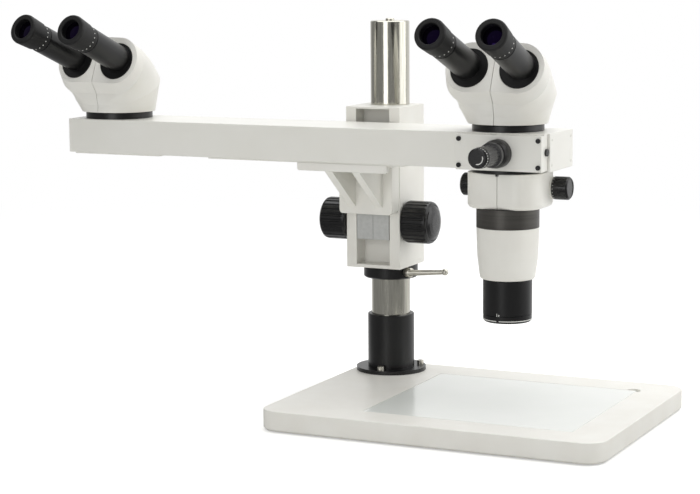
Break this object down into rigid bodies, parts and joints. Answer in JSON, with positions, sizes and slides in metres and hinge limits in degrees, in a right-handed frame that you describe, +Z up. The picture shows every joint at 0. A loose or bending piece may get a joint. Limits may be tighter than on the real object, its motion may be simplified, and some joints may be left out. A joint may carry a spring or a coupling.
{
  "type": "stereo zoom microscope",
  "caption": "Stereo zoom microscope on a column stand: flat base with glass stage, focusing carriage, long bridge arm with a second binocular head and a pointer control.",
  "frame": {"origin": "on the bench under the feet, below the middle of the whole outline", "axes": "+Z up, +X along the bridge arm towards the main zoom body, eyepieces look towards -Y"},
  "size_m": [0.7976, 0.333, 0.4902],
  "materials": {
    "white_paint": "satin off-white enamel",
    "white_casting": "cast, satin off-white enamel",
    "black_anodised": "black anodised, fine turned",
    "black_plastic": "matt black moulded",
    "black_rubber": "matt",
    "satin_aluminium": "satin, drawn",
    "bright_chrome": "polished",
    "column_chrome": "polished, ground tube",
    "grey_paint": "satin dark grey",
    "stage_glass": "frosted plate glass",
    "lens_glass": "coated optical glass",
    "mirror_glass": "front silvered",
    "bearing_brass": "turned",
    "tool_steel": "ground"
  },
  "bodies": {
    "stand": {"base_plate": "white_paint", "rubber_feet": "black_rubber", "column_socket": "black_anodised", "socket_screws": "bright_chrome", "column": "column_chrome", "column_cap": "bright_chrome"},
    "stage_plate": {"stage_plate": "stage_glass"},
    "collar": {"safety_collar": "black_anodised"},
    "collar_lever": {"collar_lever": "bright_chrome"},
    "carriage": {"carriage_housing": "white_casting", "carriage_end_plates": "white_casting", "column_bushes": "bearing_brass", "slide_rails": "tool_steel"},
    "focus_shaft": {"pinion_shaft": "tool_steel", "focus_knob_right": "black_plastic", "focus_knob_left": "black_plastic"},
    "arm": {"slide_plate_left": "satin_aluminium", "slide_plate_right": "satin_aluminium", "focus_rack": "bearing_brass", "arm_bracket": "white_casting", "bracket_screws": "tool_steel", "arm_body": "white_casting", "arm_covers": "white_casting", "arm_left_plate": "white_casting", "arm_right_plate": "white_casting", "relay_mirrors": "mirror_glass", "pointer_cover": "white_casting", "cover_screws": "black_anodised", "side_plug": "black_plastic", "pointer_base": "black_anodised", "zoom_mount_ring": "black_anodised", "zoom_body_left": "white_casting", "zoom_body_right": "white_casting", "zoom_band": "grey_paint", "zoom_lower_body": "white_casting", "objective": "black_anodised", "objective_lens": "lens_glass", "main_head_ring": "black_anodised", "second_head_ring": "black_anodised"},
    "zoom_controls": {"zoom_shaft": "tool_steel", "zoom_knob_right": "black_plastic", "zoom_knob_left": "black_plastic"},
    "pointer_dial": {"pointer_dial": "black_plastic"},
    "pointer_cap": {"pointer_cap": "black_plastic"},
    "main_head": {"main_head_shell_left": "white_casting", "main_head_shell_right": "white_casting"},
    "main_tube_left": {"main_eye_tube_left": "black_anodised"},
    "main_eyepiece_left": {"main_eyepiece_left": "black_rubber", "main_eye_lens_left": "lens_glass"},
    "main_tube_right": {"main_eye_tube_right": "black_anodised"},
    "main_eyepiece_right": {"main_eyepiece_right": "black_rubber", "main_eye_lens_right": "lens_glass"},
    "second_head": {"second_head_shell_left": "white_casting", "second_head_shell_right": "white_casting"},
    "second_tube_left": {"second_eye_tube_left": "black_anodised"},
    "second_eyepiece_left": {"second_eyepiece_left": "black_rubber", "second_eye_lens_left": "lens_glass"},
    "second_tube_right": {"second_eye_tube_right": "black_anodised"},
    "second_eyepiece_right": {"second_eyepiece_right": "black_rubber", "second_eye_lens_right": "lens_glass"}
  },
  "joints": [
    {"name": "stage_plate_lift", "type": "slide", "parent": "stand", "child": "stage_plate", "axis": [0, 0, 1], "range_m": [0, 0.06]},
    {"name": "collar_slide", "type": "slide", "parent": "stand", "child": "collar", "axis": [0, 0, 1], "range_m": [-0.045, 0.1]},
    {"name": "collar_lever_turn", "type": "hinge", "parent": "collar", "child": "collar_lever", "pos_m": [0.03788, 0.106, 0.1583], "axis": [0.866, -0.5, 0], "range_deg": [-90, 0]},
    {"name": "carriage_swivel", "type": "hinge", "parent": "collar", "child": "carriage", "pos_m": [0.0145, 0.1195, 0], "axis": [0, 0, 1], "range_deg": [-90, 90]},
    {"name": "focus_slide", "type": "slide", "parent": "carriage", "child": "arm", "axis": [0, 0, 1], "range_m": [-0.025, 0.025]},
    {"name": "focus_knob_turn", "type": "hinge", "parent": "carriage", "child": "focus_shaft", "pos_m": [0.0145, 0.086, 0.226], "axis": [-1, 0, 0], "range_deg": [-345, 345]},
    {"name": "zoom_knob_turn", "type": "hinge", "parent": "arm", "child": "zoom_controls", "pos_m": [0.2155, 0.0465, 0.2825], "axis": [1, 0, 0], "range_deg": [-135, 135]},
    {"name": "pointer_dial_turn", "type": "hinge", "parent": "arm", "child": "pointer_dial", "pos_m": [0.224, 0.0185, 0.33], "axis": [0, -1, 0], "continuous": true},
    {"name": "pointer_cap_turn", "type": "hinge", "parent": "pointer_dial", "child": "pointer_cap", "pos_m": [0.224, 0.0185, 0.33], "axis": [0, -1, 0], "range_deg": [-150, 150]},
    {"name": "main_head_swivel", "type": "hinge", "parent": "arm", "child": "main_head", "pos_m": [0.2155, 0.0185, 0.3618], "axis": [0, 0, 1], "continuous": true},
    {"name": "main_tube_left_turn", "type": "hinge", "parent": "main_head", "child": "main_tube_left", "pos_m": [0.18312, -0.02594, 0.4288], "axis": [-0.0516, -0.9224, 0.3827], "range_deg": [-45, 60]},
    {"name": "main_dioptre_left_turn", "type": "hinge", "parent": "main_tube_left", "child": "main_eyepiece_left", "pos_m": [0.18068, -0.02485, 0.43111], "axis": [-0.0516, -0.9224, 0.3827], "range_deg": [-60, 60]},
    {"name": "main_tube_right_turn", "type": "hinge", "parent": "main_head", "child": "main_tube_right", "pos_m": [0.24631, -0.02704, 0.4288], "axis": [0.0193, -0.9237, 0.3827], "range_deg": [-60, 45]},
    {"name": "main_dioptre_right_turn", "type": "hinge", "parent": "main_tube_right", "child": "main_eyepiece_right", "pos_m": [0.24879, -0.02604, 0.43111], "axis": [0.0193, -0.9237, 0.3827], "range_deg": [-60, 60]},
    {"name": "second_head_swivel", "type": "hinge", "parent": "arm", "child": "second_head", "pos_m": [-0.3295, 0.0185, 0.3618], "axis": [0, 0, 1], "continuous": true},
    {"name": "second_tube_left_turn", "type": "hinge", "parent": "second_head", "child": "second_tube_left", "pos_m": [-0.36527, -0.02326, 0.4288], "axis": [-0.1238, -0.9155, 0.3827], "range_deg": [-45, 60]},
    {"name": "second_dioptre_left_turn", "type": "hinge", "parent": "second_tube_left", "child": "second_eyepiece_left", "pos_m": [-0.36762, -0.02198, 0.43111], "axis": [-0.1238, -0.9155, 0.3827], "range_deg": [-60, 60]},
    {"name": "second_tube_right_turn", "type": "hinge", "parent": "second_head", "child": "second_tube_right", "pos_m": [-0.30236, -0.02932, 0.4288], "axis": [-0.0532, -0.9223, 0.3827], "range_deg": [-60, 45]},
    {"name": "second_dioptre_right_turn", "type": "hinge", "parent": "second_tube_right", "child": "second_eyepiece_right", "pos_m": [-0.29981, -0.02851, 0.43111], "axis": [-0.0532, -0.9223, 0.3827], "range_deg": [-60, 60]}
  ],
  "couplings": [
    {"joint": "focus_knob_turn", "follows": "focus_slide", "rad_per_m": 238.1},
    {"joint": "main_tube_right_turn", "follows": "main_tube_left_turn", "ratio": -1},
    {"joint": "second_tube_right_turn", "follows": "second_tube_left_turn", "ratio": -1}
  ]
}
